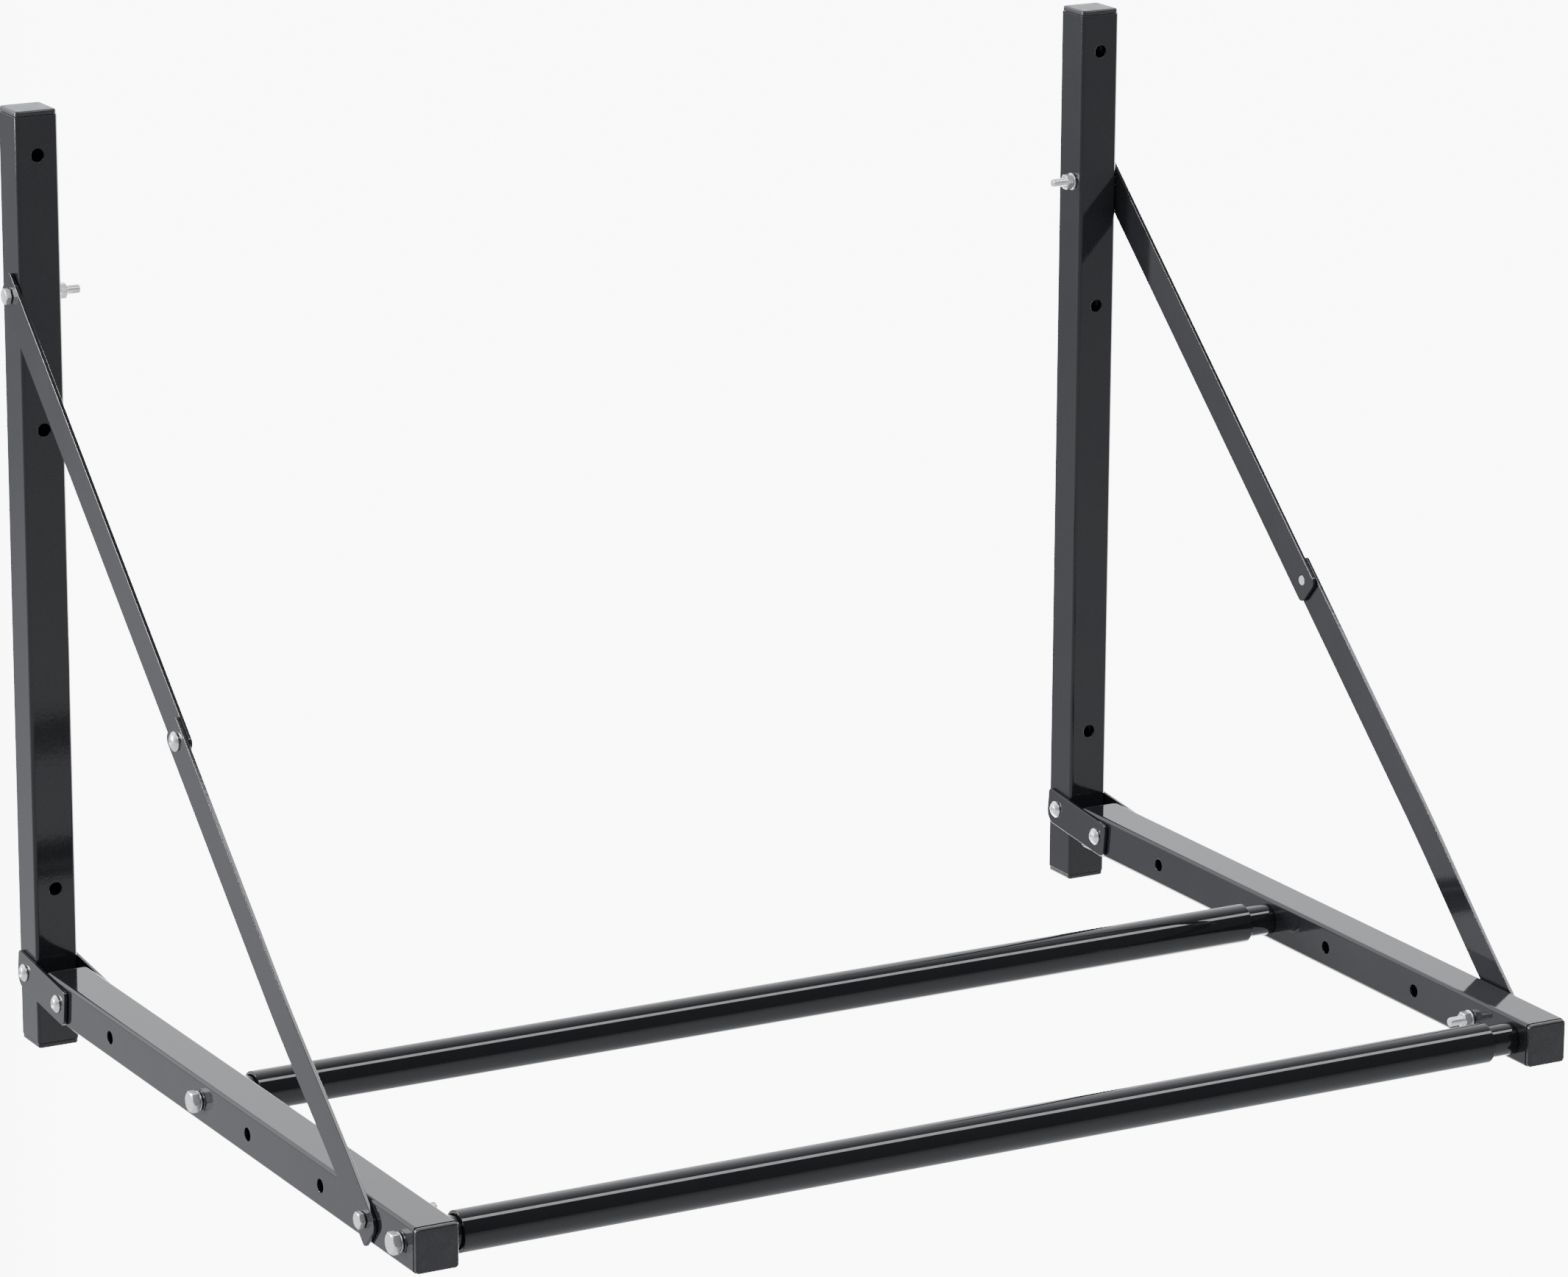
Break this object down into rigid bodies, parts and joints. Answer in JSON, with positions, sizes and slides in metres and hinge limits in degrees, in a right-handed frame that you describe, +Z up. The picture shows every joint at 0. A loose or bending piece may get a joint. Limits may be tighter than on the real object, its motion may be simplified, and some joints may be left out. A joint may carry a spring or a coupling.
{
  "type": "tyre storage rack",
  "caption": "Wall-mounted folding rack of black square tube with braced arms and telescopic round rails that carry tyres side by side.",
  "frame": {"origin": "middle of the left upright's wall face, at the height of the arm hinges", "axes": "+X along the wall to the right as seen from the room, +Y into the wall, +Z up"},
  "size_m": [0.8644, 0.612, 0.645],
  "materials": {
    "black_enamel": "glossy black stove enamel on mild steel square tube and flat bar",
    "rail_enamel": "high-gloss black enamel on round steel tube",
    "black_plastic": "satin moulded black polyethylene",
    "bright_zinc": "bright zinc-plated steel"
  },
  "bodies": {
    "left_upright": {"left_upright": "black_enamel", "left_upright_top_cap": "black_plastic", "left_upright_bottom_cap": "black_plastic", "left_outer_hinge_plate": "black_enamel", "left_inner_hinge_plate": "black_enamel", "left_upright_rivet": "bright_zinc", "left_arm_pivot_rivet": "bright_zinc", "left_upper_bolt": "bright_zinc", "left_upper_bolt_washer": "bright_zinc", "left_upper_bolt_nut": "bright_zinc"},
    "left_arm": {"left_arm": "black_enamel", "left_arm_front_cap": "black_plastic", "left_arm_rear_cap": "black_plastic", "left_lower_bolt": "bright_zinc", "left_lower_bolt_washer": "bright_zinc", "left_lower_bolt_nut": "bright_zinc", "front_rail_left_spigot": "rail_enamel", "front_rail_sleeve": "rail_enamel", "front_rail_left_insert": "bright_zinc", "front_rail_left_washer": "bright_zinc", "front_rail_left_bolt": "bright_zinc", "rear_rail_left_spigot": "rail_enamel", "rear_rail_sleeve": "rail_enamel", "rear_rail_left_insert": "bright_zinc", "rear_rail_left_washer": "bright_zinc", "rear_rail_left_bolt": "bright_zinc"},
    "left_upper_link": {"left_upper_link": "black_enamel", "left_link_rivet_tail": "bright_zinc"},
    "left_lower_link": {"left_lower_link": "black_enamel", "left_link_rivet_head": "bright_zinc"},
    "right_upright": {"right_upright": "black_enamel", "right_upright_top_cap": "black_plastic", "right_upright_bottom_cap": "black_plastic", "right_outer_hinge_plate": "black_enamel", "right_inner_hinge_plate": "black_enamel", "right_upright_rivet": "bright_zinc", "right_arm_pivot_rivet": "bright_zinc", "right_upper_bolt": "bright_zinc", "right_upper_bolt_washer": "bright_zinc", "right_upper_bolt_nut": "bright_zinc"},
    "right_arm": {"right_arm": "black_enamel", "right_arm_front_cap": "black_plastic", "right_arm_rear_cap": "black_plastic", "right_lower_bolt": "bright_zinc", "right_lower_bolt_washer": "bright_zinc", "right_lower_bolt_nut": "bright_zinc", "front_rail_sliding_tube": "rail_enamel", "front_rail_right_insert": "bright_zinc", "front_rail_right_washer": "bright_zinc", "front_rail_right_bolt": "bright_zinc", "rear_rail_sliding_tube": "rail_enamel", "rear_rail_right_insert": "bright_zinc", "rear_rail_right_washer": "bright_zinc", "rear_rail_right_bolt": "bright_zinc"},
    "right_upper_link": {"right_upper_link": "black_enamel", "right_link_rivet_tail": "bright_zinc"},
    "right_lower_link": {"right_lower_link": "black_enamel", "right_link_rivet_head": "bright_zinc"}
  },
  "joints": [
    {"name": "left_arm_fold", "type": "hinge", "parent": "left_upright", "child": "left_arm", "pos_m": [0, -0.07, 0], "axis": [-1, 0, 0], "range_deg": [0, 90]},
    {"name": "left_upper_link_swing", "type": "hinge", "parent": "left_upright", "child": "left_upper_link", "pos_m": [0, -0.019, 0.4755], "axis": [1, 0, 0], "range_deg": [0, 46]},
    {"name": "left_lower_link_swing", "type": "hinge", "parent": "left_arm", "child": "left_lower_link", "pos_m": [0, -0.544, 0], "axis": [-1, 0, 0], "range_deg": [0, 37]},
    {"name": "right_arm_fold", "type": "hinge", "parent": "right_upright", "child": "right_arm", "pos_m": [0.816, -0.07, 0], "axis": [-1, 0, 0], "range_deg": [0, 90]},
    {"name": "right_upper_link_swing", "type": "hinge", "parent": "right_upright", "child": "right_upper_link", "pos_m": [0.816, -0.019, 0.4755], "axis": [1, 0, 0], "range_deg": [0, 46]},
    {"name": "right_lower_link_swing", "type": "hinge", "parent": "right_arm", "child": "right_lower_link", "pos_m": [0.816, -0.544, 0], "axis": [-1, 0, 0], "range_deg": [0, 37]},
    {"name": "width_adjust", "type": "slide", "parent": "left_upright", "child": "right_upright", "axis": [1, 0, 0], "range_m": [-0.02, 0.3]}
  ],
  "couplings": [
    {"joint": "left_upper_link_swing", "follows": "left_arm_fold", "ratio": 0.50429},
    {"joint": "left_lower_link_swing", "follows": "left_arm_fold", "ratio": 0.40391},
    {"joint": "right_arm_fold", "follows": "left_arm_fold", "ratio": 1},
    {"joint": "right_upper_link_swing", "follows": "left_arm_fold", "ratio": 0.50429},
    {"joint": "right_lower_link_swing", "follows": "left_arm_fold", "ratio": 0.40391}
  ]
}
